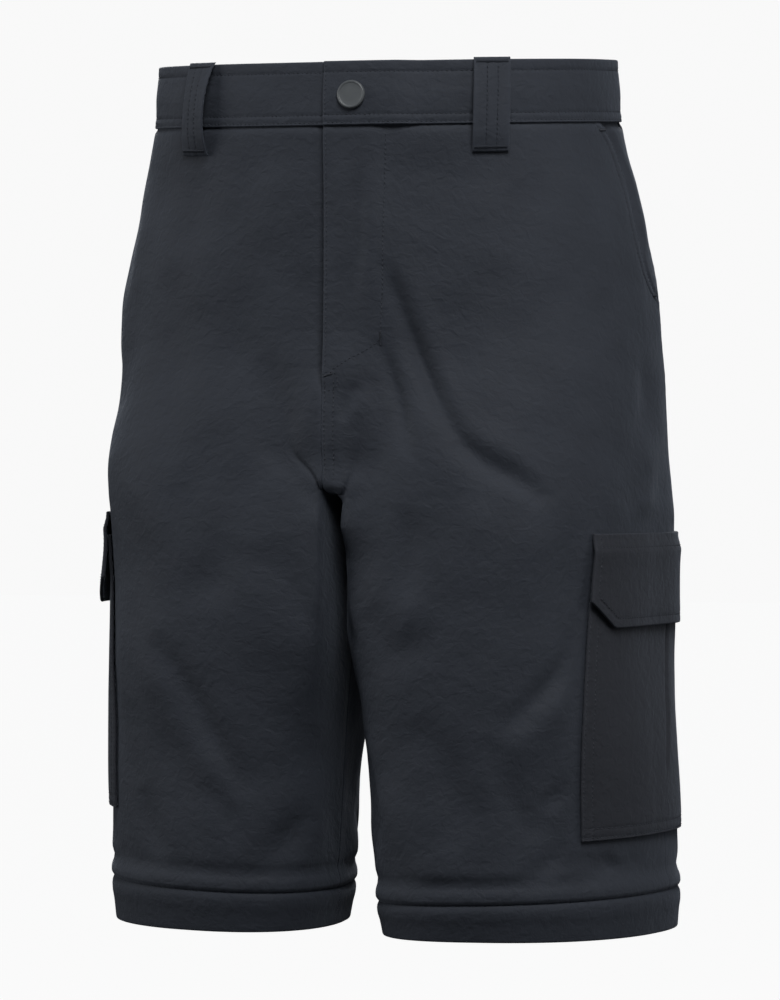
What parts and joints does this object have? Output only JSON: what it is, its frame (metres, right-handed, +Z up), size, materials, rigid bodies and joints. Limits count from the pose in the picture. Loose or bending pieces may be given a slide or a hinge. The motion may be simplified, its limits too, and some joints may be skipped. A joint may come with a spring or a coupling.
{
  "type": "convertible zip-off trousers worn as shorts",
  "caption": "Knee-length convertible trousers with the lower legs zipped off, filled out and hollow, with waistband, snap, fly, slash pockets, flapped cargo pockets and hem flaps.",
  "frame": {"origin": "centre of the waistband ring, half way up the waistband, where the wearer's waist holds the garment", "axes": "+Z up along the body, +X towards the wearer's left, -Y towards the front"},
  "size_m": [0.3752, 0.2357, 0.565],
  "materials": {
    "shell_cloth": "plain-woven nylon, dark navy grey, matt with a faint sheen",
    "pocket_cloth": "the same cloth, doubled and topstitched",
    "hem_cloth": "the same cloth, folded double",
    "zip_tape": "knitted polyester tape with coil teeth",
    "snap": "moulded cap, matt grey"
  },
  "bodies": {
    "root": {"waistband": "shell_cloth", "front_left": "shell_cloth", "front_right": "shell_cloth", "back_left": "shell_cloth", "back_right": "shell_cloth", "belt_loop_front_left": "shell_cloth", "belt_loop_front_right": "shell_cloth", "belt_loop_back_left": "shell_cloth", "belt_loop_back_right": "shell_cloth", "belt_loop_back_centre": "shell_cloth", "pocket_facing_left": "pocket_cloth", "pocket_facing_right": "pocket_cloth", "cargo_pocket_left": "pocket_cloth", "cargo_pocket_right": "pocket_cloth", "cargo_flap_left": "pocket_cloth", "cargo_flap_right": "pocket_cloth", "hem_flap_left": "hem_cloth", "hem_flap_right": "hem_cloth", "zip_tape_left": "zip_tape", "zip_tape_right": "zip_tape", "snap_button": "snap"}
  },
  "joints": []
}
